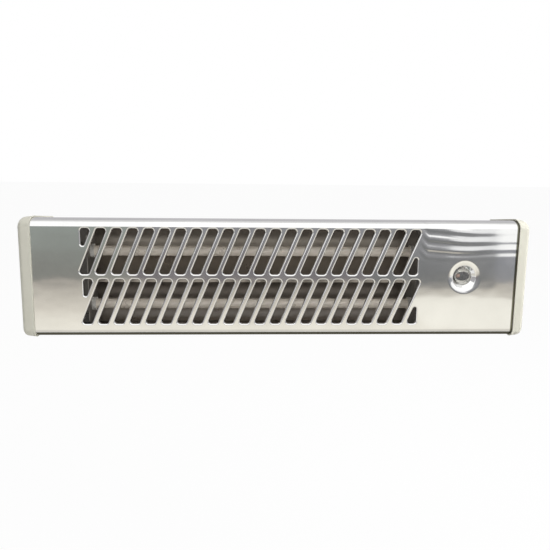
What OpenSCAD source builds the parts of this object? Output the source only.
// Wall heater with two quartz tubes behind a slotted steel cover, on a tilting wall bracket.
// Millimetres. X runs along the heater, Y points into the wall and Z points up.
// The origin is the middle of the wall screw pattern, on the wall. Inside the heater, sizes
// are taken from its own datum: the middle of its length, its front face and its mid height.

/* [Body] */
// Overall length, over both end caps
body_l = 523; // [420:1:700]
// Height of the steel cover
body_h = 122; // [118:1:160]
// Depth of the cover, from front face to back
body_d = 78; // [72:1:100]
// Slope of the top and the bottom towards the back, in degrees
body_taper = 5; // [0:0.5:6]
// Thickness of the cover steel
sheet_t = 0.6; // [0.5:0.1:0.8]
// Thickness of the chassis and tube plate steel
chassis_t = 0.8; // [0.8:0.1:1.2]
// Depth of the top front bend
top_bend_d = 14; // [10:1:18]
// Height of the top front bend
top_bend_h = 8; // [6:0.5:8]
// Depth of the bottom front bend
bottom_bend_d = 9; // [8:1:20]
// Height of the bottom front bend
bottom_bend_h = 8; // [6:0.5:11.5]
// Width of the flanges that close the cover over the back
flange_w = 10; // [9:0.5:12]

/* [End caps] */
// Width of each cap that shows beyond the cover
cap_w = 12; // [10:0.5:18]
// How far a cap stands proud of the cover all round
cap_proud = 1.7; // [1:0.1:3]
// Rounding of the outer edge of a cap
cap_round = 6.5; // [4:0.5:8]
// Wall of a cap
cap_wall = 2.4; // [2:0.1:3]
// How far the cover slides into a cap
cap_overlap = 2; // [1.5:0.1:3]
// Gap between a cap and what slides into it
cap_gap = 0.35; // [0.2:0.05:0.5]
// Height of the cap screws above and below mid height
cap_screw_z = 38; // [25:1:44]

/* [Slots] */
// Number of full slots in each row
slot_count = 21; // [8:1:23]
// Distance from slot to slot
slot_pitch = 16.1; // [15.5:0.1:18]
// Lean of the slots from upright, in degrees
slot_lean = 22.5; // [15:0.5:25]
// Clear width of a slot, along the heater
slot_w = 10.2; // [8:0.1:10.4]
// Clear height of a slot
slot_h = 46.6; // [40:0.1:47.2]
// Steel between the two rows, rim to rim
slot_row_gap = 2.1; // [1.5:0.1:6]
// Height of the line between the rows above mid height
slot_mid_z = 1.95; // [0:0.05:2]
// Place along the heater of the first full upper slot, on the line between the rows
slot_first_x = -199.1; // [-210:0.1:-150]
// Shift of the lower row along the heater
slot_row_shift = 22.7; // [0:0.1:24]
// Radius of the rim drawn inwards round each slot
rim_r = 1.7; // [1.2:0.1:2.2]
// Depth of the drawn rim behind the face
rim_depth = 3; // [2.5:0.1:4]
// Corner radius of a slot
slot_corner_r = 2.8; // [2:0.1:3.2]
// Radius at the pointed end of a part slot
slot_tip_r = 1.8; // [1.5:0.1:2.2]

/* [Tubes] */
// Outer radius of a quartz tube
tube_r = 5.2; // [4.5:0.1:6]
// Wall of a quartz tube
tube_wall = 1.2; // [0.8:0.1:1.5]
// Depth of the tubes behind the face
tube_d = 24; // [22:0.5:28]
// Height of the upper tube above mid height
tube_upper_z = 25.9; // [20:0.1:28]
// Height of the lower tube above mid height
tube_lower_z = -30.9; // [-33:0.1:-20]
// Place along the heater of the left tube plate
plate_left_x = -196; // [-200:1:-150]
// Place along the heater of the right tube plate
plate_right_x = 147; // [110:1:147]
// Radius of a ceramic end
ceramic_r = 8.5; // [8:0.1:10]
// Length of a ceramic end outside its plate
ceramic_l = 16; // [14:0.5:20]
// Length of a ceramic end inside its plate
ceramic_neck_l = 4; // [3:0.5:6]
// Radial gap between a heating coil and the bore of its tube
coil_gap = 0.6; // [0.4:0.1:1]

/* [Reflector] */
// Thickness of the reflector sheet
reflector_t = 0.6; // [0.4:0.1:0.8]
// Depth of the bottom of each trough behind the face
trough_d = 44; // [38:0.5:50]
// Depth of the ridge between the troughs behind the face
ridge_d = 25; // [20:0.5:30]
// Height of the ridge above mid height
ridge_z = -2.5; // [-6:0.5:2]
// Height of the top edge above mid height
reflector_top_z = 51; // [46:0.5:52]
// Depth of the front edges behind the face
reflector_front_d = 12; // [8:0.5:16]

/* [Pilot lamp] */
// Place of the lamp along the heater
lamp_x = 195.5; // [180:0.5:210]
// Height of the lamp above mid height
lamp_z = 2.4; // [-4:0.1:8]
// Outer radius of the shallow hollow round the dish
hollow_r = 17.2; // [16:0.1:18]
// Outer radius of the pressed dish
dish_r = 12.3; // [11.5:0.1:13]
// Radius of the hole in the dish
lamp_hole_r = 8.4; // [7.5:0.1:9]
// Depth of the dish
dish_d = 4.5; // [3.5:0.5:5]
// Depth of the collar behind the dish
lamp_collar_d = 8; // [7.5:0.5:10]
// Width of the oval window in front of the neon bulb
window_w = 15.6; // [13:0.2:15.8]
// Height of the oval window
window_h = 9.6; // [8:0.2:11]

/* [Wall bracket] */
// Distance between the wall screw holes
wall_screw_span = 200; // [120:5:210]
// Radius of a wall screw hole
wall_hole_r = 2.75; // [2:0.25:3.5]
// Distance over the two ears
bracket_l = 260; // [220:5:300]
// Height of the bracket
bracket_h = 28; // [22:1:34]
// Thickness of the bracket steel
bracket_t = 2; // [1.5:0.5:3]
// Inner radius of the bends in the brackets
bracket_bend_r = 1.2; // [0.5:0.1:2]
// Distance from the wall to the tilt axis
pivot_out = 28; // [24:1:36]
// Distance from the tilt axis to the back of the heater
pivot_gap = 14; // [14:0.5:20]
// Height of the heater's middle above the tilt axis
body_lift = 8; // [0:1:12]
// Radius of the round end of each ear
ear_r = 9; // [7:0.5:10]
// Radius of a pivot bolt
bolt_r = 2.5; // [2:0.1:3]
// Radial play between a bolt and what turns on it
play = 0.05; // [0.02:0.01:0.08]
// Side gap between parts that turn past each other
side_gap = 0.3; // [0.2:0.1:0.6]
// Reach of a wing from the middle of its nut
wing_reach = 12; // [9:0.5:12.5]

/* [Electrics] */
// Place of the pull switch along the heater
switch_x = 205; // [200:1:212]
// Depth of the pull switch behind the face
switch_d = 44; // [38:1:50]
// Width of the switch body along the heater
switch_w = 28; // [24:1:30]
// Depth of the switch body, from front to back
switch_t = 22; // [18:1:24]
// Height of the switch body
switch_h = 34; // [32:1:36]
// Travel of the pull rod
pull_travel = 8; // [5:0.5:9]
// Radius of the pull rod
rod_r = 2; // [1.5:0.1:2.5]
// Place of the mains cable inlet along the heater
inlet_x = 226; // [222:1:230]
// Height of the mains cable inlet above mid height
inlet_z = 30; // [10:1:36]
// Radius of the hole for the mains cable
inlet_r = 3.75; // [3:0.05:4.5]
// Radius of the internal leads
lead_r = 1.1; // [0.8:0.1:1.2]
// Distance from way to way of the terminal block
way_pitch = 10; // [9:0.5:11]

/* [Screws] */
// Radius of the self-tapping screws
screw_r = 1.75; // [1.5:0.05:2]
// Radius of a screw head
head_r = 3.5; // [3:0.1:4]
// Height of a screw head
head_h = 2; // [1.5:0.1:2.5]
// Radial clearance round a screw
screw_gap = 0.1; // [0.05:0.05:0.2]
// Radius of the terminal block's screw
block_screw_r = 1.5; // [1.25:0.05:1.6]
// Radius of the head of the terminal block's screw
block_screw_head_r = 2.6; // [2.3:0.1:2.8]
// Height of the head of the terminal block's screw
block_screw_head_h = 1.8; // [1.4:0.1:2.2]

/* [Hidden] */
$fn = 48;

left = -1;
right = 1;
face_y = -(pivot_out + pivot_gap + body_d);
cover_half_l = body_l / 2 - cap_w + cap_overlap;
flat_top_z = body_h / 2 - top_bend_h;
flat_bottom_z = -(body_h / 2 - bottom_bend_h);
chassis_d = body_d - sheet_t - chassis_t;
end_wall_inset = 14;
chassis_half_l = body_l / 2 - end_wall_inset;
bend_steps = 8;
lean = tan(slot_lean);
slot_corners = [slot_corner_r, slot_corner_r, slot_corner_r, slot_corner_r];
slot_corner_steps = 3;
plate_front_d = 8;
plate_top_z = 52;
plate_bottom_z = -54;
neck_gap = 0.1;
ceramic_neck_r = tube_r + 1.9;
reflector_steps = 8;
pull_neck_r = 6;
pull_neck_l = 7;
lead_sides = 8;
blade_w = 6.3;
blade_t = 0.8;
blade_l = 10;
blade_end = ceramic_l + blade_l;

// ---------- Small helpers ----------

// Moves a shape from the heater's own datum to the wall frame.
module in_heater() {
    translate([0, face_y, body_lift])
        children();
}

// Extrudes a depth-and-height outline along the heater, from x0 over length l.
module along(x0, l) {
    translate([x0, 0, 0])
        rotate([90, 0, 90])
            linear_extrude(l)
                children();
}

// Extrudes a front-view outline into the heater, from depth d0 over h.
module inward(d0, h) {
    translate([0, d0 + h, 0])
        rotate([90, 0, 0])
            linear_extrude(h)
                children();
}

// A round bar into the heater, from depth d0 over h.
module bar_inward(x, z, d0, h, r) {
    translate([x, d0, z])
        rotate([-90, 0, 0])
            cylinder(r = r, h = h);
}

// A round bar along the heater, from x0 over l.
module bar_along(x0, d, z, l, r) {
    translate([x0, d, z])
        rotate([0, 90, 0])
            cylinder(r = r, h = l);
}

function flatten(lists) = [for (list = lists) for (item = list) item];
function reversed(list) = [for (i = [len(list) - 1:-1:0]) list[i]];
function unit(v) = v / norm(v);
function around(list, i) = list[(i + len(list)) % len(list)];
function heading(v) = atan2(v[1], v[0]);

// ---------- Outlines ----------

// Quarter bend from the front face over to a surface that slopes by the taper.
function bend(depth, height, top_z, inset) =
    let (last = 90 + atan(tan(body_taper) * (depth - inset) / (height - inset)))
    [for (k = [0:bend_steps])
        let (a = last * k / bend_steps)
        [depth - (depth - inset) * cos(a), top_z - height + (height - inset) * sin(a)]];

// Point where the sloping surface that follows a bend meets the depth back_d.
function slope_end(points, back_d) =
    let (p = points[len(points) - 1])
    [back_d, p[1] - (back_d - p[0]) * tan(body_taper)];

function top_bend(inset) = bend(top_bend_d, top_bend_h, body_h / 2, inset);
function bottom_bend(inset) =
    [for (p = bend(bottom_bend_d, bottom_bend_h, body_h / 2, inset)) [p[0], -p[1]]];
function top_end(inset, back_d) = slope_end(top_bend(inset), back_d);
function bottom_end(inset, back_d) =
    let (p = slope_end([for (q = bottom_bend(inset)) [q[0], -q[1]]], back_d)) [back_d, -p[1]];

// Height of the outer surface of the bottom at depth d.
function bottom_z(d) = bottom_end(0, d)[1];

// Closed outline of the cover's section, moved in by inset, with its back at back_d.
function section_outline(inset, back_d, back_cut = 0) =
    concat(
        [top_end(inset, back_d) - [0, back_cut]],
        back_cut > 0 ? [top_end(inset, back_d - back_cut)] : [],
        reversed(top_bend(inset)),
        bottom_bend(inset),
        back_cut > 0 ? [bottom_end(inset, back_d - back_cut)] : [],
        [bottom_end(inset, back_d) + [0, back_cut]]
    );

// Rounded outline of a convex polygon given counter-clockwise, grown outwards by grow.
function side_normal(p, i) =
    let (d = unit(around(p, i + 1) - around(p, i))) [d[1], -d[0]];
function corner_centre(p, r, i) =
    let (
        a = unit(around(p, i - 1) - p[i]),
        b = unit(around(p, i + 1) - p[i]),
        half = acos(a * b) / 2
    )
    p[i] + unit(a + b) * r[i] / sin(half);
function corner_turn(p, i) =
    let (t = heading(side_normal(p, i)) - heading(side_normal(p, i - 1)))
    t < 0 ? t + 360 : t;
function rounded(p, r, grow) =
    [for (i = [0:len(p) - 1])
        let (
            c = corner_centre(p, r, i),
            a0 = heading(side_normal(p, i - 1)),
            turn = corner_turn(p, i)
        )
        for (k = [0:slot_corner_steps])
            let (a = a0 + turn * k / slot_corner_steps)
            c + (r[i] + grow) * [cos(a), sin(a)]];

// ---------- Slots ----------

upper_z0 = slot_mid_z + slot_row_gap / 2 + rim_r;
lower_z0 = slot_mid_z - slot_row_gap / 2 - rim_r - slot_h;
slot_window_x = [slot_first_x - slot_pitch, slot_first_x + slot_row_shift + slot_count * slot_pitch];

function slot_x(row, n, z) =
    slot_first_x + row * slot_row_shift + n * slot_pitch + lean * (z - slot_mid_z);

// A full slot, then the part slots that end a row: a triangle beside the last full one.
function full_slot(row, n, z0) =
    let (z1 = z0 + slot_h)
    [
        [slot_x(row, n, z0) - slot_w / 2, z0],
        [slot_x(row, n, z0) + slot_w / 2, z0],
        [slot_x(row, n, z1) + slot_w / 2, z1],
        [slot_x(row, n, z1) - slot_w / 2, z1]
    ];
function left_part_slot(row, z0) =
    let (z1 = z0 + slot_h, x = slot_x(row, -1, z1) + slot_w / 2)
    [[x, z1], [x - slot_w, z1], [x - slot_w, z1 - slot_w / lean]];
function right_part_slot(row, z0) =
    let (x = slot_x(row, slot_count, z0) - slot_w / 2)
    [[x, z0], [x + slot_w, z0], [x + slot_w, z0 + slot_w / lean]];
part_corners = [slot_corner_r, slot_corner_r, slot_tip_r];

function row_z0(row) = row == 0 ? upper_z0 : lower_z0;
slots = flatten([for (row = [0, 1])
    concat(
        [for (n = [0:slot_count - 1]) [full_slot(row, n, row_z0(row)), slot_corners]],
        [[left_part_slot(row, row_z0(row)), part_corners]],
        [[right_part_slot(row, row_z0(row)), part_corners]]
    )]);

// Rings of one drawn rim: depth behind the face, and how far the outline is grown there.
rim_rings = [[-0.3, 2.5], [0.45, 0.5], [1.7, 0], [4, 0]] * (rim_r / 1.7);

// What a punch with a rounded shoulder takes out of the sheet at one slot.
module slot_punch(outline, corners) {
    n = len(outline) * (slot_corner_steps + 1);
    last = len(rim_rings) - 1;
    points = [for (ring = rim_rings)
        for (q = rounded(outline, corners, ring[1])) [q[0], ring[0], q[1]]];
    sides = [for (b = [0:last - 1]) for (i = [0:n - 1])
        [b * n + i, b * n + (i + 1) % n, b * n + n + (i + 1) % n, b * n + n + i]];
    front_end = [for (i = [n - 1:-1:0]) i];
    back_end = [for (i = [0:n - 1]) last * n + i];
    polyhedron(points, concat([front_end], sides, [back_end]));
}

// Space behind the sheet round all the rims.
module behind_rims() {
    collar = sheet_t + 0.3;
    rims = [for (s = slots) rounded(s[0], s[1], collar)];
    window = [
        [slot_window_x[0], flat_bottom_z],
        [slot_window_x[1], flat_bottom_z],
        [slot_window_x[1], flat_top_z],
        [slot_window_x[0], flat_top_z]
    ];
    starts = [for (k = 0, at = 4; k < len(rims); at = at + len(rims[k]), k = k + 1) at];
    loops = [for (k = [0:len(rims) - 1]) [for (i = [0:len(rims[k]) - 1]) starts[k] + i]];
    inward(sheet_t, rim_depth)
        polygon(concat(window, flatten(rims)), concat([[0, 1, 2, 3]], loops));
}

// ---------- Cover, chassis and caps ----------

lamp_dish_steps = 6;
hollow_steps = 4;
hollow_d = 0.5;
hollow_edge = 1.5;

// Quarter bend of the dish, from radius dish_r into a hole of radius hole_r, shift further back.
function dish_bend(hole_r, shift) =
    [for (k = [0:lamp_dish_steps])
        let (a = 90 * k / lamp_dish_steps)
        [dish_r - (dish_r - hole_r) * sin(a), hollow_d + shift + (dish_d - hollow_d) * (1 - cos(a))]];

// Gentle fall of the hollow towards the dish.
function hollow_fall(shift) =
    [for (k = [0:hollow_steps - 1])
        let (part = k / hollow_steps)
        [hollow_r - (hollow_r - dish_r) * part, shift + hollow_d * (1 - cos(180 * part)) / 2]];

// Section of the pressed dish: a hollow, a quarter bend into the hole, and a collar.
module dish_section() {
    rim = hollow_r + hollow_edge;
    polygon(concat(
        [[rim, 0]], hollow_fall(0), dish_bend(lamp_hole_r, 0), [[lamp_hole_r, lamp_collar_d]],
        [[lamp_hole_r + sheet_t, lamp_collar_d]], reversed(dish_bend(lamp_hole_r + sheet_t, sheet_t)),
        reversed(hollow_fall(sheet_t)), [[rim, sheet_t]]
    ));
}

module cover_shell() {
    outer = section_outline(0, body_d);
    inner = section_outline(sheet_t, body_d - sheet_t);
    last = len(outer) - 1;
    along(-cover_half_l, 2 * cover_half_l)
        polygon(concat(
            [outer[0] - [0, flange_w]], outer, [outer[last] + [0, flange_w]],
            [inner[last] + [0, flange_w - sheet_t]], reversed(inner), [inner[0] - [0, flange_w - sheet_t]]
        ));
}

cover_screw_inset = 21;
cover_screw_shift = 0.8;
cover_screw_x = [-(chassis_half_l - cover_screw_inset), 0, chassis_half_l - cover_screw_inset];
cover_screw_top_z = top_end(0, body_d)[1] - flange_w / 2 - cover_screw_shift;
cover_screw_bottom_z = bottom_end(0, body_d)[1] + flange_w / 2 + cover_screw_shift;

module front_cover() {
    color("#c9c9c6")
        in_heater() {
            difference() {
                union() {
                    cover_shell();
                    translate([slot_window_x[0], 0, flat_bottom_z])
                        cube([slot_window_x[1] - slot_window_x[0], rim_depth, flat_top_z - flat_bottom_z]);
                }
                behind_rims();
                for (s = slots)
                    slot_punch(s[0], s[1]);
                bar_inward(lamp_x, lamp_z, -1, 3, hollow_r + hollow_edge / 2);
                for (x = cover_screw_x, z = [cover_screw_top_z, cover_screw_bottom_z])
                    bar_inward(x, z, body_d - 3, 5, screw_r + screw_gap);
                at_switch()
                    translate([0, 0, -3])
                        cylinder(r = pull_neck_r + screw_gap, h = 6);
            }
            translate([lamp_x, 0, lamp_z])
                rotate([-90, 0, 0])
                    rotate_extrude()
                        dish_section();
        }
}

plate_screw_z = [-34, 34];
hinge_foot_x = bracket_l / 2 - bracket_t - side_gap;
hinge_foot_l = 22;
hinge_screw_z = [-8, 8];
hinge_screw_inset = 15;
hinge_screw_x = hinge_foot_x - hinge_screw_inset;
vent_z = [-27, 27];
vent_count = 11;
vent_pitch = 17;
vent_w = 4;
vent_h = 22;
vent_corner = 1.2;

// One vent outline in the back: an upright slot with cut corners.
function vent(x, z) =
    let (w = vent_w / 2, h = vent_h / 2, c = vent_corner)
    [
        [x - w, z - h + c], [x - w + c, z - h], [x + w - c, z - h], [x + w, z - h + c],
        [x + w, z + h - c], [x + w - c, z + h], [x - w + c, z + h], [x - w, z + h - c]
    ];

chassis_gap = 0.5;
end_wall_front_d = 20;
end_wall_half_h = 46;
earth_x = 180;
earth_z = -14;
block_x = 182;
block_z = 26;
ways = 3;
block_size = [ways * way_pitch + 2, 16, 18];
grommet_neck = 2.65;
grommet_lip = 4.6;
clamp_drop = 26;
clamp_x = inlet_x;
clamp_z = inlet_z - clamp_drop;
clamp_screw_x = 8;
clamp_holes_x = [clamp_x - clamp_screw_x, clamp_x + clamp_screw_x];

module back_chassis() {
    vents = [for (z = vent_z, k = [0:vent_count - 1])
        vent((k - (vent_count - 1) / 2) * vent_pitch, z)];
    top = top_end(sheet_t + chassis_gap, body_d)[1];
    bottom = bottom_end(sheet_t + chassis_gap, body_d)[1];
    plate = [
        [-chassis_half_l, bottom], [chassis_half_l, bottom],
        [chassis_half_l, top], [-chassis_half_l, top]
    ];
    loops = [for (k = [0:len(vents) - 1]) [for (i = [0:7]) 4 + 8 * k + i]];
    color("#a9abab")
        in_heater()
            difference() {
                union() {
                    inward(chassis_d, chassis_t)
                        polygon(concat(plate, flatten(vents)), concat([[0, 1, 2, 3]], loops));
                    for (side = [left, right])
                        translate([
                            side * (chassis_half_l - chassis_t / 2) - chassis_t / 2,
                            end_wall_front_d, -end_wall_half_h
                        ])
                            cube([chassis_t, body_d - sheet_t - end_wall_front_d, 2 * end_wall_half_h]);
                }
                for (x = cover_screw_x, z = [cover_screw_top_z, cover_screw_bottom_z])
                    bar_inward(x, z, chassis_d - 2, 5, screw_r + screw_gap);
                for (x = [plate_left_x - plate_foot_l / 2, plate_right_x + plate_foot_l / 2],
                        z = plate_screw_z)
                    bar_inward(x, z, chassis_d - 2, 5, screw_r + screw_gap);
                for (side = [left, right], z = hinge_screw_z)
                    bar_inward(side * hinge_screw_x, z - body_lift, chassis_d - 2, 5, screw_r + screw_gap);
                for (side = [left, right], z = [-cap_screw_z, cap_screw_z])
                    bar_along(side * chassis_half_l - 3, cap_screw_d, z, 6, screw_r + screw_gap);
                bar_inward(inlet_x, inlet_z, chassis_d - 2, 5, inlet_r + grommet_neck + screw_gap);
                bar_inward(earth_x, earth_z, chassis_d - 2, 5, screw_r + screw_gap);
                bar_inward(block_screw_x, block_z, chassis_d - 2, 5, block_screw_r + screw_gap);
                for (x = clamp_holes_x)
                    bar_inward(x, clamp_z, chassis_d - 2, 5, screw_r + screw_gap);
            }
}

cap_screw_d = 44;
cap_rest = cap_w - cap_overlap;
cap_spigot_l = 3.5;
cap_spigot_wall = 2;
cap_spigot = cap_rest + cap_spigot_l;
cap_head_gap = 0.5;
cap_boss_r = 5;
cap_head_sink = 3;
cap_steps = 5;
cap_back_cut = 2.5;
cap_fullness = 2.5;

// One slice of a cap's outer form, u in from its outer face; its edge is fuller than a circle.
module cap_slice(u) {
    part = max(cap_round - u, 0) / cap_round;
    fall = cap_round * (1 - pow(1 - pow(part, cap_fullness), 1 / cap_fullness));
    inset = fall - cap_proud;
    translate([0, 0, u])
        linear_extrude(0.01)
            polygon(section_outline(inset, body_d - inset, cap_back_cut));
}

// Cap drawn along its own axis, from its outer face at 0.
module cap_form() {
    difference() {
        union() {
            hull() {
                for (k = [0:cap_steps])
                    cap_slice(cap_round * (1 - cos(90 * k / cap_steps)));
                cap_slice(cap_w - 0.01);
            }
            linear_extrude(cap_spigot)
                polygon(section_outline(sheet_t + cap_gap, body_d - sheet_t - cap_gap));
        }
        translate([0, 0, cap_rest])
            linear_extrude(cap_spigot)
                difference() {
                    polygon(section_outline(-cap_gap, body_d + cap_gap));
                    polygon(section_outline(sheet_t + cap_gap, body_d - sheet_t - cap_gap));
                }
        difference() {
            translate([0, 0, cap_wall])
                linear_extrude(cap_spigot)
                    polygon(section_outline(
                        sheet_t + cap_gap + cap_spigot_wall, body_d - sheet_t - cap_gap - cap_spigot_wall
                    ));
            for (z = [-cap_screw_z, cap_screw_z])
                translate([cap_screw_d, z, 0])
                    cylinder(r = cap_boss_r, h = body_l / 2 - chassis_half_l);
        }
        for (z = [-cap_screw_z, cap_screw_z])
            translate([cap_screw_d, z, -1]) {
                cylinder(r = screw_r + screw_gap, h = 30);
                cylinder(r = head_r + cap_head_gap, h = 1 + cap_head_sink);
            }
    }
}

module end_cap_left() {
    color("#d9d6c3")
        in_heater()
            translate([-body_l / 2, 0, 0])
                rotate([90, 0, 90])
                    cap_form();
}

module end_cap_right() {
    color("#d9d6c3")
        in_heater()
            mirror([1, 0, 0])
                translate([-body_l / 2, 0, 0])
                    rotate([90, 0, 90])
                        cap_form();
}

// ---------- Reflector, plates and tubes ----------

// Depth of a trough at height z, for a tube at height tube_z.
function trough_at(z, tube_z) =
    let (ridge_reach = abs(ridge_z - tube_z))
    trough_d - (trough_d - ridge_d) * pow((z - tube_z) / ridge_reach, 2);

function trough_points(tube_z, z0, z1) =
    [for (k = [0:reflector_steps])
        let (z = z0 + (z1 - z0) * k / reflector_steps) [trough_at(z, tube_z), z]];

reflector_bottom_z = tube_lower_z - (reflector_top_z - tube_upper_z);
trough_lip = 4;
tab_h = 8;
tab_l = 3;
tab_root = 0.5;
tab_gap = 0.3;
tab_z = [tube_upper_z, tube_lower_z];

module reflector() {
    upper = trough_points(tube_upper_z, reflector_top_z - trough_lip, ridge_z);
    lower = trough_points(tube_lower_z, ridge_z, reflector_bottom_z + trough_lip);
    front = concat(
        [[reflector_front_d, reflector_top_z]], upper,
        [for (i = [1:reflector_steps]) lower[i]], [[reflector_front_d, reflector_bottom_z]]
    );
    back = [for (p = front) p + [reflector_t, 0]];
    color("#dcdcda")
        in_heater() {
            along(plate_left_x + chassis_t, plate_right_x - plate_left_x - 2 * chassis_t)
                polygon(concat(front, reversed(back)));
            for (x = [plate_left_x - tab_l, plate_right_x - chassis_t - tab_root], z = tab_z)
                translate([x, trough_d, z - tab_h / 2])
                    cube([chassis_t + tab_l + tab_root, reflector_t, tab_h]);
        }
}

plate_foot_l = 14;
plate_corner = 8;
plate_foot_trim = 4;
lead_hole_d = 68;
lead_hole_z = -46;

// Plate that carries the tubes, its outside facing +X from x = 0 to -chassis_t.
module tube_plate() {
    difference() {
        union() {
            along(-chassis_t, chassis_t)
                polygon([
                    [plate_front_d, plate_bottom_z + plate_corner],
                    [plate_front_d + plate_corner, plate_bottom_z],
                    [chassis_d, plate_bottom_z], [chassis_d, plate_top_z],
                    [plate_front_d + plate_corner, plate_top_z], [plate_front_d, plate_top_z - plate_corner]
                ]);
            translate([-chassis_t, chassis_d - chassis_t, plate_bottom_z + plate_foot_trim])
                cube([
                    plate_foot_l + chassis_t, chassis_t, plate_top_z - plate_bottom_z - 2 * plate_foot_trim
                ]);
        }
        for (z = [tube_upper_z, tube_lower_z])
            bar_along(-3, tube_d, z, 6, ceramic_neck_r + neck_gap);
        for (z = tab_z)
            translate([-3, trough_d - tab_gap, z - tab_h / 2 - tab_gap])
                cube([6, reflector_t + 2 * tab_gap, tab_h + 2 * tab_gap]);
        bar_along(-3, lead_hole_d, lead_hole_z, 6, lead_r + 2);
        for (z = plate_screw_z)
            bar_inward(plate_foot_l / 2, z, chassis_d - 3, 5, screw_r + screw_gap);
    }
}

module tube_plate_left() {
    color("#8d9092")
        in_heater()
            translate([plate_left_x, 0, 0])
                mirror([1, 0, 0])
                    tube_plate();
}

module tube_plate_right() {
    color("#8d9092")
        in_heater()
            translate([plate_right_x, 0, 0])
                tube_plate();
}

tube_seat = 7;
seat_gap = 0.2;
tail_gap = 0.3;
ceramic_chamfer = 1.5;

module quartz_tube(z) {
    x0 = plate_left_x - tube_seat;
    l = plate_right_x - plate_left_x + 2 * tube_seat;
    color("#e9e6dd")
        in_heater()
            difference() {
                bar_along(x0, tube_d, z, l, tube_r);
                bar_along(x0 - 1, tube_d, z, l + 2, tube_r - tube_wall);
            }
}

module quartz_tube_upper() {
    quartz_tube(tube_upper_z);
}

module quartz_tube_lower() {
    quartz_tube(tube_lower_z);
}

coil_r = tube_r - tube_wall - coil_gap;
coil_wall = 0.8;
coil_start = 8;
coil_tail_r = 0.7;

// Sleeve of the coil's outer size, with its straight tails.
module heating_coil(z) {
    x0 = plate_left_x + coil_start;
    l = plate_right_x - plate_left_x - 2 * coil_start;
    color("#6b6258")
        in_heater() {
            difference() {
                bar_along(x0, tube_d, z, l, coil_r);
                bar_along(x0 + coil_wall, tube_d, z, l - 2 * coil_wall, coil_r - coil_wall);
            }
            bar_along(x0 - coil_start - ceramic_l, tube_d, z, coil_start + ceramic_l + 0.1, coil_tail_r);
            bar_along(x0 + l - 0.1, tube_d, z, coil_start + ceramic_l + 0.1, coil_tail_r);
        }
}

module heating_coil_upper() {
    heating_coil(tube_upper_z);
}

module heating_coil_lower() {
    heating_coil(tube_lower_z);
}

// Ceramic end turned about the tube, its shoulder against a plate whose outside is at 0.
module ceramic_form() {
    rotate([0, 90, 0])
        rotate_extrude()
            polygon([
                [tube_r + neck_gap, -chassis_t - ceramic_neck_l],
                [ceramic_neck_r, -chassis_t - ceramic_neck_l],
                [ceramic_neck_r, 0], [ceramic_r, 0], [ceramic_r, ceramic_l - ceramic_chamfer],
                [ceramic_r - ceramic_chamfer, ceramic_l], [coil_tail_r + tail_gap, ceramic_l],
                [coil_tail_r + tail_gap, tube_seat + seat_gap], [tube_r + neck_gap, tube_seat + seat_gap]
            ]);
}

module ceramic_end(side, z) {
    color("#efece4")
        in_heater()
            if (side == left)
                translate([plate_left_x, tube_d, z])
                    mirror([1, 0, 0])
                        ceramic_form();
            else
                translate([plate_right_x, tube_d, z])
                    ceramic_form();
}

module ceramic_end_upper_left() {
    ceramic_end(left, tube_upper_z);
}

module ceramic_end_lower_left() {
    ceramic_end(left, tube_lower_z);
}

module ceramic_end_upper_right() {
    ceramic_end(right, tube_upper_z);
}

module ceramic_end_lower_right() {
    ceramic_end(right, tube_lower_z);
}

terminal_base_r = 3.2;
terminal_base_t = 1;

// Blade terminal on the outside of a ceramic end.
module terminal_form() {
    translate([ceramic_l, 0, 0])
        rotate([0, 90, 0])
            cylinder(r = terminal_base_r, h = terminal_base_t);
    translate([ceramic_l + terminal_base_t / 2, -blade_w / 2, -blade_t / 2])
        cube([blade_l - terminal_base_t / 2, blade_w, blade_t]);
}

module tube_terminals() {
    color("#c8b36a")
        in_heater()
            for (z = [tube_upper_z, tube_lower_z]) {
                translate([plate_right_x, tube_d, z])
                    terminal_form();
                translate([plate_left_x, tube_d, z])
                    mirror([1, 0, 0])
                        terminal_form();
            }
}

// ---------- Pilot lamp ----------

lens_front_d = 3.2;
lens_l = 3;
lens_gap = 0.3;
holder_gap = 0.1;
holder_back_d = 24;
holder_back_t = 2;
holder_front_t = 1.2;
holder_bore_r = 6.6;
holder_clip = 2;
holder_clip_t = 1.5;
bulb_r = 2.5;
bulb_shift = -3.6;
bulb_tip_d = 8;
window_steps = 24;

// Domed lens, drawn as a turned section.
module lamp_lens() {
    r = lamp_hole_r - lens_gap;
    color("#b9a99a", 0.6)
        in_heater()
            translate([lamp_x, lens_front_d, lamp_z])
                rotate([-90, 0, 0])
                    rotate_extrude()
                        polygon([
                            [0, 0], [0.4 * r, 0.25], [0.7 * r, 0.85], [0.9 * r, 1.5], [r, 2.1],
                            [r, lens_l], [0, lens_l]
                        ]);
}

// Holder that clips behind the collar; its front has an oval window.
module lamp_holder() {
    front = lens_front_d + lens_l;
    r = lamp_hole_r - holder_gap;
    clip_r = lamp_hole_r + holder_clip;
    color("#e4e0d6")
        in_heater()
            translate([lamp_x, 0, lamp_z])
                difference() {
                    rotate([-90, 0, 0])
                        rotate_extrude()
                            polygon([
                                [0, holder_back_d - holder_back_t],
                                [holder_bore_r, holder_back_d - holder_back_t],
                                [holder_bore_r, front + holder_front_t], [0, front + holder_front_t],
                                [0, front], [r, front], [r, lamp_collar_d], [clip_r, lamp_collar_d],
                                [clip_r, lamp_collar_d + holder_clip_t], [r, lamp_collar_d + holder_clip_t],
                                [r, holder_back_d], [0, holder_back_d]
                            ]);
                    inward(front - 1, holder_front_t + 2)
                        polygon([for (k = [0:window_steps - 1])
                            let (a = 360 * (k + 0.5) / window_steps)
                            [window_w / 2 * cos(a), window_h / 2 * sin(a)]]);
                }
}

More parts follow.
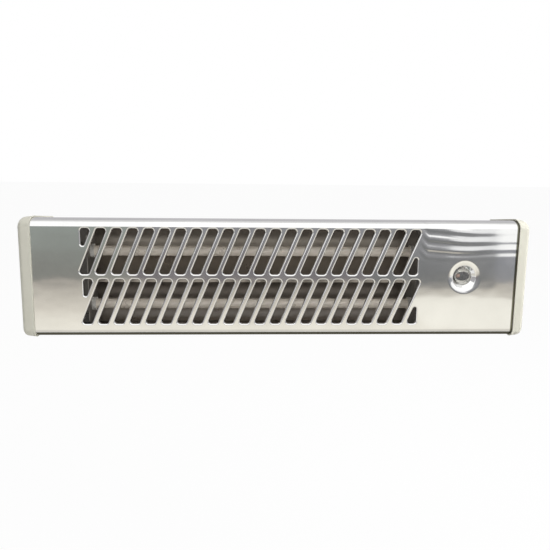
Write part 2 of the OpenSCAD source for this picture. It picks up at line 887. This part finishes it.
module neon_bulb() {
    back = holder_back_d - holder_back_t;
    color("#c98a6a")
        in_heater()
            translate([lamp_x + bulb_shift, 0, lamp_z])
                rotate([-90, 0, 0])
                    rotate_extrude()
                        polygon([
                            [0, bulb_tip_d], [0.64 * bulb_r, bulb_tip_d + 0.6],
                            [bulb_r, bulb_tip_d + 2], [bulb_r, back], [0, back]
                        ]);
}

// ---------- Pull switch ----------

// Datum of the switch: on the outside of the bottom, square to it, Z into the heater.
module at_switch() {
    translate([switch_x, switch_d, bottom_z(switch_d)])
        rotate([body_taper, 0, 0])
            children();
}

chamber_r = 4;
chamber_z0 = 8;
rod_collar_z = chamber_z0 + pull_travel + 0.5;
rod_collar_h = 2;
rod_top_z = rod_collar_z + rod_collar_h + 3;
rod_bottom_z = -pull_neck_l + 1;
cord_hole_r = 0.9;
cord_hole_l = 6;
switch_blade_x = [-8, 0, 8];
switch_blade_l = 6;
switch_groove_drop = 8;
switch_groove = 2;
rod_collar_gap = 0.3;

module switch_body() {
    w = switch_w;
    d = switch_t;
    h = switch_h;
    color("#3a3a3c")
        in_heater()
            at_switch()
                difference() {
                    union() {
                        translate([-w / 2, -d / 2, sheet_t])
                            cube([w, d, h]);
                        translate([0, 0, -pull_neck_l])
                            cylinder(r = pull_neck_r, h = pull_neck_l + sheet_t + 1);
                        for (x = switch_blade_x)
                            translate([x - blade_t / 2, -blade_w / 2, sheet_t + h - 1])
                                cube([blade_t, blade_w, switch_blade_l + 1]);
                    }
                    translate([0, 0, -pull_neck_l - 1])
                        cylinder(r = rod_r + play, h = rod_top_z + pull_neck_l + 2);
                    translate([0, 0, chamber_z0])
                        cylinder(r = chamber_r, h = pull_travel + rod_collar_h + 1.5);
                    for (side = [left, right])
                        translate([side * w / 2 - 1, -d / 2 - 1, sheet_t + h - switch_groove_drop])
                            cube([2, d + 2, switch_groove]);
                }
}

module switch_rod() {
    color("#e8e6df")
        in_heater()
            at_switch()
                difference() {
                    union() {
                        translate([0, 0, rod_bottom_z])
                            cylinder(r = rod_r, h = rod_top_z - rod_bottom_z);
                        translate([0, 0, rod_collar_z])
                            cylinder(r = chamber_r - rod_collar_gap, h = rod_collar_h);
                    }
                    translate([0, 0, rod_bottom_z - 1])
                        cylinder(r = cord_hole_r, h = cord_hole_l + 1);
                }
}

nut_h = 3;
nut_r = 9.2;

module switch_nut() {
    color("#e8e6df")
        in_heater()
            at_switch()
                translate([0, 0, -nut_h])
                    difference() {
                        cylinder(r = nut_r, h = nut_h, $fn = 6);
                        translate([0, 0, -1])
                            cylinder(r = pull_neck_r + screw_gap, h = nut_h + 2);
                    }
}

// ---------- Terminal block, cable inlet and earth ----------

way_inset = 10;
barrier_w = 1.2;
barrier_d = 3;
block_front_d = chassis_d - block_size[1];
way_d = block_front_d + way_inset;
way_r = 2.2;
way_screw_r = 2;
way_screw_z = [-5, 5];
block_screw_x = block_x + way_pitch / 2;
block_screw_sink = 5;
block_screw_l = 14;
driver_slot_w = 0.8;
driver_slot_d = 1;
function way_x(k) = block_x + (k - (ways - 1) / 2) * way_pitch;

module terminal_block() {
    color("#e6e2d2")
        in_heater()
            difference() {
                translate([block_x - block_size[0] / 2, block_front_d, block_z - block_size[2] / 2])
                    cube(block_size);
                for (k = [0:ways - 1]) {
                    translate([way_x(k), way_d, block_z - block_size[2] / 2 - 1])
                        cylinder(r = way_r, h = block_size[2] + 2);
                    for (z = way_screw_z)
                        bar_inward(way_x(k), block_z + z, block_front_d - 1, 10, way_screw_r + screw_gap);
                }
                for (k = [0:ways - 2])
                    translate([
                        way_x(k) + (way_pitch - barrier_w) / 2, block_front_d - 1, block_z - block_size[2]
                    ])
                        cube([barrier_w, barrier_d + 1, 2 * block_size[2]]);
                translate([block_screw_x, 0, block_z]) {
                    bar_inward(0, 0, block_front_d - 1, block_size[1] + 2, block_screw_r + screw_gap);
                    bar_inward(0, 0, block_front_d - 1, 1 + block_screw_sink, block_screw_head_r + 0.2);
                }
            }
}

// What a screwdriver slot takes out of a head whose top is at depth d.
module driver_slot(x, z, d) {
    translate([x - 5, d - 1, z - driver_slot_w / 2])
        cube([10, 1 + driver_slot_d, driver_slot_w]);
}

module block_screw() {
    seat_d = block_front_d + block_screw_sink;
    head_d = seat_d - block_screw_head_h;
    color("#b9b9b4")
        in_heater()
            difference() {
                union() {
                    bar_inward(block_screw_x, block_z, seat_d, block_screw_l, block_screw_r);
                    bar_inward(block_screw_x, block_z, head_d, block_screw_head_h, block_screw_head_r);
                }
                driver_slot(block_screw_x, block_z, head_d);
            }
}

module terminal_screws() {
    head_d = block_front_d + 1;
    l = way_d - lead_r - head_d;
    color("#c8b36a")
        in_heater()
            for (k = [0:ways - 1], z = way_screw_z)
                difference() {
                    bar_inward(way_x(k), block_z + z, head_d, l, way_screw_r);
                    driver_slot(way_x(k), block_z + z, head_d);
                }
}

module cable_grommet() {
    color("#2b2b2d")
        in_heater()
            translate([inlet_x, chassis_d, inlet_z])
                rotate([-90, 0, 0])
                    rotate_extrude()
                        polygon([
                            [inlet_r, -2.5], [inlet_r + grommet_lip - 0.6, -2.5],
                            [inlet_r + grommet_lip, -1.9], [inlet_r + grommet_lip, 0],
                            [inlet_r + grommet_neck, 0], [inlet_r + grommet_neck, chassis_t],
                            [inlet_r + grommet_lip, chassis_t], [inlet_r + grommet_lip, chassis_t + 1.5],
                            [inlet_r + 3, chassis_t + 3], [inlet_r, chassis_t + 3]
                        ]);
}

clamp_w = 25;
clamp_h = 8;
clamp_rise = 8;
clamp_bore_r = 4;
clamp_head_d = 5;

// Bridge that holds the mains cable down on the chassis.
module cable_clamp() {
    color("#e6e2d2")
        in_heater()
            difference() {
                translate([clamp_x - clamp_w / 2, chassis_d - clamp_rise, clamp_z - clamp_h / 2])
                    cube([clamp_w, clamp_rise, clamp_h]);
                translate([clamp_x, chassis_d + 0.2, clamp_z - clamp_h / 2 - 1])
                    cylinder(r = clamp_bore_r, h = clamp_h + 2);
                for (x = clamp_holes_x) {
                    bar_inward(x, clamp_z, chassis_d - 10, 12, screw_r + screw_gap);
                    bar_inward(
                        x, clamp_z, chassis_d - clamp_rise - 1, clamp_rise + 1 - clamp_head_d, head_r + 0.3
                    );
                }
            }
}

cross_w = 0.9;
cross_l = 4.4;
cross_depth = 1;
cap_screw_l = 15;

// Pan-head screw that points along -Y with its head at the back, l long from under its head.
module screw_from_back(x, z, under_head_d, l) {
    bar_inward(x, z, under_head_d - l, l, screw_r);
    difference() {
        bar_inward(x, z, under_head_d, head_h, head_r);
        for (turn = [0, 90])
            translate([x, under_head_d + head_h, z])
                rotate([0, turn, 0])
                    cube([cross_w, cross_depth * 2, cross_l], center = true);
    }
}

module clamp_screws() {
    color("#b9b9b4")
        in_heater()
            for (x = clamp_holes_x)
                translate([x, 0, clamp_z]) {
                    bar_inward(0, 0, chassis_d - clamp_head_d, 8, screw_r);
                    bar_inward(0, 0, chassis_d - clamp_head_d - head_h, head_h, head_r);
                }
}

earth_head_r = 4.2;
earth_head_h = 3;
tag_t = 0.8;
tag_r = 4.4;
tag_w = 3;
tag_l = 9;

module earth_screw() {
    head_d = chassis_d - tag_t - earth_head_h;
    color("#c8a850")
        in_heater() {
            bar_inward(earth_x, earth_z, head_d + earth_head_h, tag_t + chassis_t + 3, screw_r);
            difference() {
                bar_inward(earth_x, earth_z, head_d, earth_head_h, earth_head_r);
                driver_slot(earth_x, earth_z, head_d);
            }
        }
}

// Ring tag that the earth screw holds against the chassis.
module earth_tag() {
    color("#c9c9c6")
        in_heater()
            difference() {
                union() {
                    bar_inward(earth_x, earth_z, chassis_d - tag_t, tag_t, tag_r);
                    translate([earth_x - tag_w / 2, chassis_d - tag_t, earth_z])
                        cube([tag_w, tag_t, tag_l]);
                }
                bar_inward(earth_x, earth_z, chassis_d - 3, 6, screw_r + screw_gap);
            }
}

// ---------- Wall bracket and tilt hinge ----------

bend_round_steps = 6;

// Ear outline in depth and height, one part at a time: the round end at depth 0, then the
// sides that run to the flat foot at reach.
module ear_outline(part, reach, half_h) {
    if (part == 0)
        circle(ear_r);
    else
        polygon([
            [0, ear_r - 0.1], [reach * 0.6, half_h], [reach, half_h],
            [reach, -half_h], [reach * 0.6, -half_h], [0, -ear_r + 0.1]
        ]);
}

// Part of a bend seen from above, about a centre; from and to are its first and last angle.
function bend_arc(centre, r, from, to) =
    [for (k = [0:bend_round_steps])
        let (a = from + (to - from) * k / bend_round_steps)
        centre + r * [cos(a), sin(a)]];

// Angle seen from above: an ear up to ear_y at x = 0, bent into a foot that runs to foot_l.
// The foot lies on y = 0, and the outer corner is at the origin.
function angle_outline(ear_y, foot_l) =
    let (
        out_r = bracket_bend_r + bracket_t,
        c = [out_r, out_r]
    )
    concat(
        [[foot_l, 0]],
        bend_arc(c, out_r, 270, 180),
        [[0, ear_y], [bracket_t, ear_y]],
        bend_arc(c, bracket_bend_r, 180, 270),
        [[foot_l, bracket_t]]
    );

module wall_bracket() {
    half_h = bracket_h / 2;
    half_l = bracket_l / 2;
    angle = angle_outline(pivot_out + ear_r + 1, half_l);
    left_half = [for (i = [1:len(angle) - 2]) [angle[i][0] - half_l, -angle[i][1]]];
    color("#b4b6b6")
        difference() {
            for (part = [0, 1])
                intersection() {
                    translate([0, 0, -half_h])
                        linear_extrude(bracket_h)
                            polygon(concat(left_half, reversed([for (p = left_half) [-p[0], p[1]]])));
                    translate([-half_l, -pivot_out, 0])
                        rotate([90, 0, 90])
                            linear_extrude(bracket_l)
                                ear_outline(part, pivot_out, half_h);
                }
            bar_along(-bracket_l, -pivot_out, 0, 2 * bracket_l, bolt_r + play);
            for (side = [left, right])
                bar_inward(side * wall_screw_span / 2, 0, -bracket_t - 1, bracket_t + 2, wall_hole_r);
        }
}

hinge_back_y = -(pivot_out + pivot_gap) - sheet_t;

// Angle on the back of the heater, its ear just inside the wall bracket's ear.
module hinge_bracket(side) {
    half_h = bracket_h / 2;
    reach = hinge_back_y + pivot_out;
    color("#b4b6b6")
        difference() {
            mirror([side == right ? 1 : 0, 0, 0])
                for (part = [0, 1])
                    intersection() {
                        translate([-hinge_foot_x, hinge_back_y, -half_h])
                            linear_extrude(bracket_h)
                                polygon(angle_outline(ear_r + 1 - reach, hinge_foot_l));
                        translate([-hinge_foot_x, -pivot_out, 0])
                            rotate([90, 0, 90])
                                linear_extrude(hinge_foot_l)
                                    ear_outline(part, reach, half_h);
                    }
            bar_along(-bracket_l, -pivot_out, 0, 2 * bracket_l, bolt_r + screw_gap);
            for (z = hinge_screw_z)
                bar_inward(side * hinge_screw_x, z, hinge_back_y - 1, bracket_t + 2, screw_r + screw_gap);
        }
}

module hinge_bracket_left() {
    hinge_bracket(left);
}

module hinge_bracket_right() {
    hinge_bracket(right);
}

bolt_head_r = 4.6;
bolt_head_h = 3;
washer_t = 1;
washer_r = 5.5;
nut_start = bracket_l / 2 + side_gap + washer_t + side_gap;
wing_hub_h = 5;
bolt_reach = 6;
bolt_end = nut_start + wing_hub_h + bolt_reach;

module pivot_bolts() {
    head_x = hinge_foot_x - bracket_t - bolt_head_h;
    color("#c2c2bf")
        for (side = [left, right])
            rotate([0, 0, side == left ? 180 : 0])
                translate([0, side * -pivot_out, 0]) {
                    bar_along(head_x, 0, 0, bolt_head_h, bolt_head_r);
                    bar_along(head_x + bolt_head_h, 0, 0, bolt_end - head_x - bolt_head_h, bolt_r);
                }
}

module pivot_washers() {
    color("#c2c2bf")
        for (side = [left, right])
            rotate([0, 0, side == left ? 180 : 0])
                translate([bracket_l / 2 + side_gap, side * -pivot_out, 0])
                    rotate([0, 90, 0])
                        difference() {
                            cylinder(r = washer_r, h = washer_t);
                            translate([0, 0, -1])
                                cylinder(r = bolt_r + play, h = washer_t + 2);
                        }
}

wing_hub_r = 5;
wing_hub_tip_r = 4.2;
wing_t = 1.8;
wing_tip_r = 3.4;
wing_rise = 5;

// Wing nut drawn about the bolt, its seat at 0 and its wings rising outwards.
module wing_nut_form() {
    difference() {
        union() {
            cylinder(r1 = wing_hub_r, r2 = wing_hub_tip_r, h = wing_hub_h);
            for (side = [left, right])
                rotate([90, 0, 0])
                    translate([0, 0, -wing_t / 2])
                        linear_extrude(wing_t) {
                            translate([
                                side * (wing_reach - wing_tip_r), wing_hub_h + wing_rise - wing_tip_r
                            ])
                                circle(wing_tip_r);
                            polygon([
                                [0, 0.6], [side * 4.4, 0.6],
                                [side * (wing_reach - 0.6), wing_hub_h + wing_rise - wing_tip_r - 1.4],
                                [side * (wing_reach - wing_tip_r - 1.6), wing_hub_h + wing_rise - 0.5],
                                [side * 3, wing_hub_h], [0, wing_hub_h]
                            ]);
                        }
        }
        translate([0, 0, -1])
            cylinder(r = bolt_r + play, h = wing_hub_h + wing_rise + 2);
    }
}

module wing_nut_left() {
    color("#c9c9c6")
        translate([-nut_start, -pivot_out, 0])
            rotate([0, -90, 0])
                wing_nut_form();
}

module wing_nut_right() {
    color("#c9c9c6")
        translate([nut_start, -pivot_out, 0])
            rotate([0, 90, 0])
                wing_nut_form();
}

// ---------- Screws ----------

module cover_screws() {
    color("#b9b9b4")
        in_heater()
            for (x = cover_screw_x, z = [cover_screw_top_z, cover_screw_bottom_z])
                screw_from_back(x, z, body_d, 8);
}

module plate_screws() {
    color("#b9b9b4")
        in_heater()
            for (x = [plate_left_x - plate_foot_l / 2, plate_right_x + plate_foot_l / 2], z = plate_screw_z)
                screw_from_back(x, z, chassis_d + chassis_t, 6);
}

module hinge_screws() {
    color("#b9b9b4")
        in_heater()
            for (side = [left, right], z = hinge_screw_z)
                screw_from_back(side * hinge_screw_x, z - body_lift, chassis_d + chassis_t + bracket_t, 7);
}

module cap_screws() {
    head_u = cap_head_sink - head_h;
    color("#b9b9b4")
        in_heater()
            for (side = [left, right], z = [-cap_screw_z, cap_screw_z])
                translate([side * (body_l / 2), cap_screw_d, z])
                    rotate([0, side * -90, 0])
                        difference() {
                            union() {
                                translate([0, 0, head_u])
                                    cylinder(r = head_r, h = head_h);
                                translate([0, 0, cap_head_sink])
                                    cylinder(r = screw_r, h = cap_screw_l);
                            }
                            for (turn = [0, 90])
                                translate([0, 0, head_u])
                                    rotate([0, 0, turn])
                                        cube([cross_w, cross_l, cross_depth * 2], center = true);
                        }
}

// ---------- Internal leads ----------

// Catmull-Rom curve through the route's points.
function spline_point(a, b, c, d, t) =
    0.5 * (2 * b + (c - a) * t + (2 * a - 5 * b + 4 * c - d) * t * t + (3 * b - a - 3 * c + d) * t * t * t);
function spline(p, steps) =
    let (n = len(p) - 1)
    concat(
        [for (i = [0:n - 1]) for (k = [0:steps - 1])
            spline_point(p[max(i - 1, 0)], p[i], p[i + 1], p[min(i + 2, n)], k / steps)],
        [p[n]]
    );

// A sideways direction at each ring, carried along the route without twisting.
function carried(side, along_v) = unit(side - (side * along_v) * along_v);
function tangents(p) =
    let (n = len(p) - 1)
    [for (i = [0:n]) unit(p[min(i + 1, n)] - p[max(i - 1, 0)])];
function square_ends(t, start, end) =
    [for (i = [0:len(t) - 1]) i == 0 ? unit(start) : i == len(t) - 1 ? unit(end) : t[i]];
function first_side(t) = carried(abs(t[2]) < 0.8 ? [0, 0, 1] : [1, 0, 0], t);
function sides_along(t) =
    [for (i = 0, s = first_side(t[0]); i < len(t); i = i + 1, s = i < len(t) ? carried(s, t[i]) : s) s];

// Round lead swept along a route.
module lead(route, r = lead_r, steps = 3) {
    path = spline(route, steps);
    last = len(route) - 1;
    t = square_ends(tangents(path), route[1] - route[0], route[last] - route[last - 1]);
    s = sides_along(t);
    rings = len(path);
    points = [for (i = [0:rings - 1]) for (k = [0:lead_sides - 1])
        let (a = 360 * k / lead_sides)
        path[i] + r * (cos(a) * s[i] + sin(a) * cross(t[i], s[i]))];
    walls = [for (i = [0:rings - 2]) for (k = [0:lead_sides - 1])
        let (m = (k + 1) % lead_sides)
        [i * lead_sides + k, (i + 1) * lead_sides + k, (i + 1) * lead_sides + m, i * lead_sides + m]];
    start = [for (k = [0:lead_sides - 1]) k];
    end = [for (k = [lead_sides - 1:-1:0]) (rings - 1) * lead_sides + k];
    polyhedron(points, concat([start], walls, [end]));
}

blade_left_x = plate_left_x - blade_end;
blade_right_x = plate_right_x + blade_end;
lead_shift = 1.85;
lamp_lead_r = 0.8;
pair_shift = 1.05;
block_low_z = block_z - block_size[2] / 2;
lead_end_z = block_z - 2;

// Direction into the heater along the switch, and the end of switch blade k.
up = [0, -sin(body_taper), cos(body_taper)];
function switch_blade_end(k) =
    let (h = sheet_t + switch_h + switch_blade_l)
    [switch_x + switch_blade_x[k], switch_d, bottom_z(switch_d)] + h * up;

module supply_lead() {
    a = switch_blade_end(0);
    color("#8a3b2e")
        in_heater()
            lead([
                a, a + 4 * up, a + [-1, 8, 8],
                [way_x(2), way_d - 2, 4], [way_x(2), way_d, 12], [way_x(2), way_d, block_low_z],
                [way_x(2), way_d, lead_end_z]
            ]);
}

module return_lead() {
    d = tube_d - lead_shift;
    x = blade_left_x;
    to_x = way_x(0) - pair_shift;
    color("#39507a")
        in_heater()
            lead([
                [x, d, tube_lower_z], [x - 5, d, tube_lower_z], [x - 11, d + 8, tube_lower_z - 6],
                [x - 9, d + 34, lead_hole_z + 4], [x, lead_hole_d, lead_hole_z],
                [plate_left_x - 10, lead_hole_d, lead_hole_z], [-60, lead_hole_d, lead_hole_z],
                [plate_right_x - 12, lead_hole_d, lead_hole_z],
                [plate_right_x + 4, lead_hole_d, lead_hole_z],
                [to_x - 4, lead_hole_d, -36], [to_x, way_d, -20],
                [to_x, way_d, 6], [to_x, way_d, block_low_z], [to_x, way_d, lead_end_z]
            ]);
}

module link_lead() {
    d = tube_d + lead_shift;
    x = blade_left_x;
    color("#39507a")
        in_heater()
            lead([
                [x, d, tube_upper_z], [x - 5, d, tube_upper_z], [x - 9, d + 2, tube_upper_z - 9],
                [x - 9, d + 4, 0], [x - 9, d + 2, tube_lower_z + 9], [x - 5, d, tube_lower_z],
                [x, d, tube_lower_z]
            ]);
}

module upper_live_lead() {
    a = switch_blade_end(1);
    d = tube_d + lead_shift;
    color("#8a3b2e")
        in_heater()
            lead([
                a, a + 4 * up, [206, 43, -4], [204, 41, 12], [194, 34, 23],
                [blade_right_x + 6, d, tube_upper_z], [blade_right_x, d, tube_upper_z]
            ]);
}

module lower_live_lead() {
    a = switch_blade_end(2);
    color("#8a3b2e")
        in_heater()
            lead([
                a, a + 4 * up, [210, 32, -10], [199, 26, -15], [186, tube_d, -25],
                [blade_right_x + 6, tube_d, tube_lower_z], [blade_right_x, tube_d, tube_lower_z]
            ]);
}

module earth_lead() {
    tag_z = earth_z + tag_l;
    d = chassis_d - lead_r - 0.1;
    color("#5c7a3a")
        in_heater()
            lead([
                [way_x(1), way_d, lead_end_z], [way_x(1), way_d, block_low_z],
                [way_x(1), way_d, block_low_z - 4],
                [earth_x + 1, d - 1, tag_z + 7], [earth_x, d, tag_z + 3], [earth_x, d, tag_z]
            ]);
}

module lamp_leads() {
    back = holder_back_d;
    to_x = way_x(0) + pair_shift;
    color("#6e6a64")
        in_heater() {
            lead([
                [lamp_x + 2, back, lamp_z], [lamp_x + 2, back + 4, lamp_z],
                [lamp_x + 1, back + 5, lamp_z + 8],
                [187, 25, 20], [blade_right_x + 6, tube_d - lead_shift, tube_upper_z],
                [blade_right_x, tube_d - lead_shift, tube_upper_z]
            ], lamp_lead_r);
            lead([
                [lamp_x - 2, back, lamp_z], [lamp_x - 2, back + 4, lamp_z],
                [lamp_x - 7, back + 14, lamp_z + 1],
                [180, 54, 4], [to_x, way_d, 9], [to_x, way_d, block_low_z], [to_x, way_d, lead_end_z]
            ], lamp_lead_r);
        }
}

wall_bracket();
front_cover();
back_chassis();
end_cap_left();
end_cap_right();
reflector();
tube_plate_left();
tube_plate_right();
quartz_tube_upper();
quartz_tube_lower();
heating_coil_upper();
heating_coil_lower();
ceramic_end_upper_left();
ceramic_end_lower_left();
ceramic_end_upper_right();
ceramic_end_lower_right();
tube_terminals();
lamp_lens();
lamp_holder();
neon_bulb();
switch_body();
switch_rod();
switch_nut();
terminal_block();
terminal_screws();
cable_grommet();
cable_clamp();
clamp_screws();
block_screw();
earth_screw();
earth_tag();
hinge_bracket_left();
hinge_bracket_right();
pivot_bolts();
pivot_washers();
wing_nut_left();
wing_nut_right();
cap_screws();
cover_screws();
plate_screws();
hinge_screws();
supply_lead();
return_lead();
link_lead();
upper_live_lead();
lower_live_lead();
earth_lead();
lamp_leads();
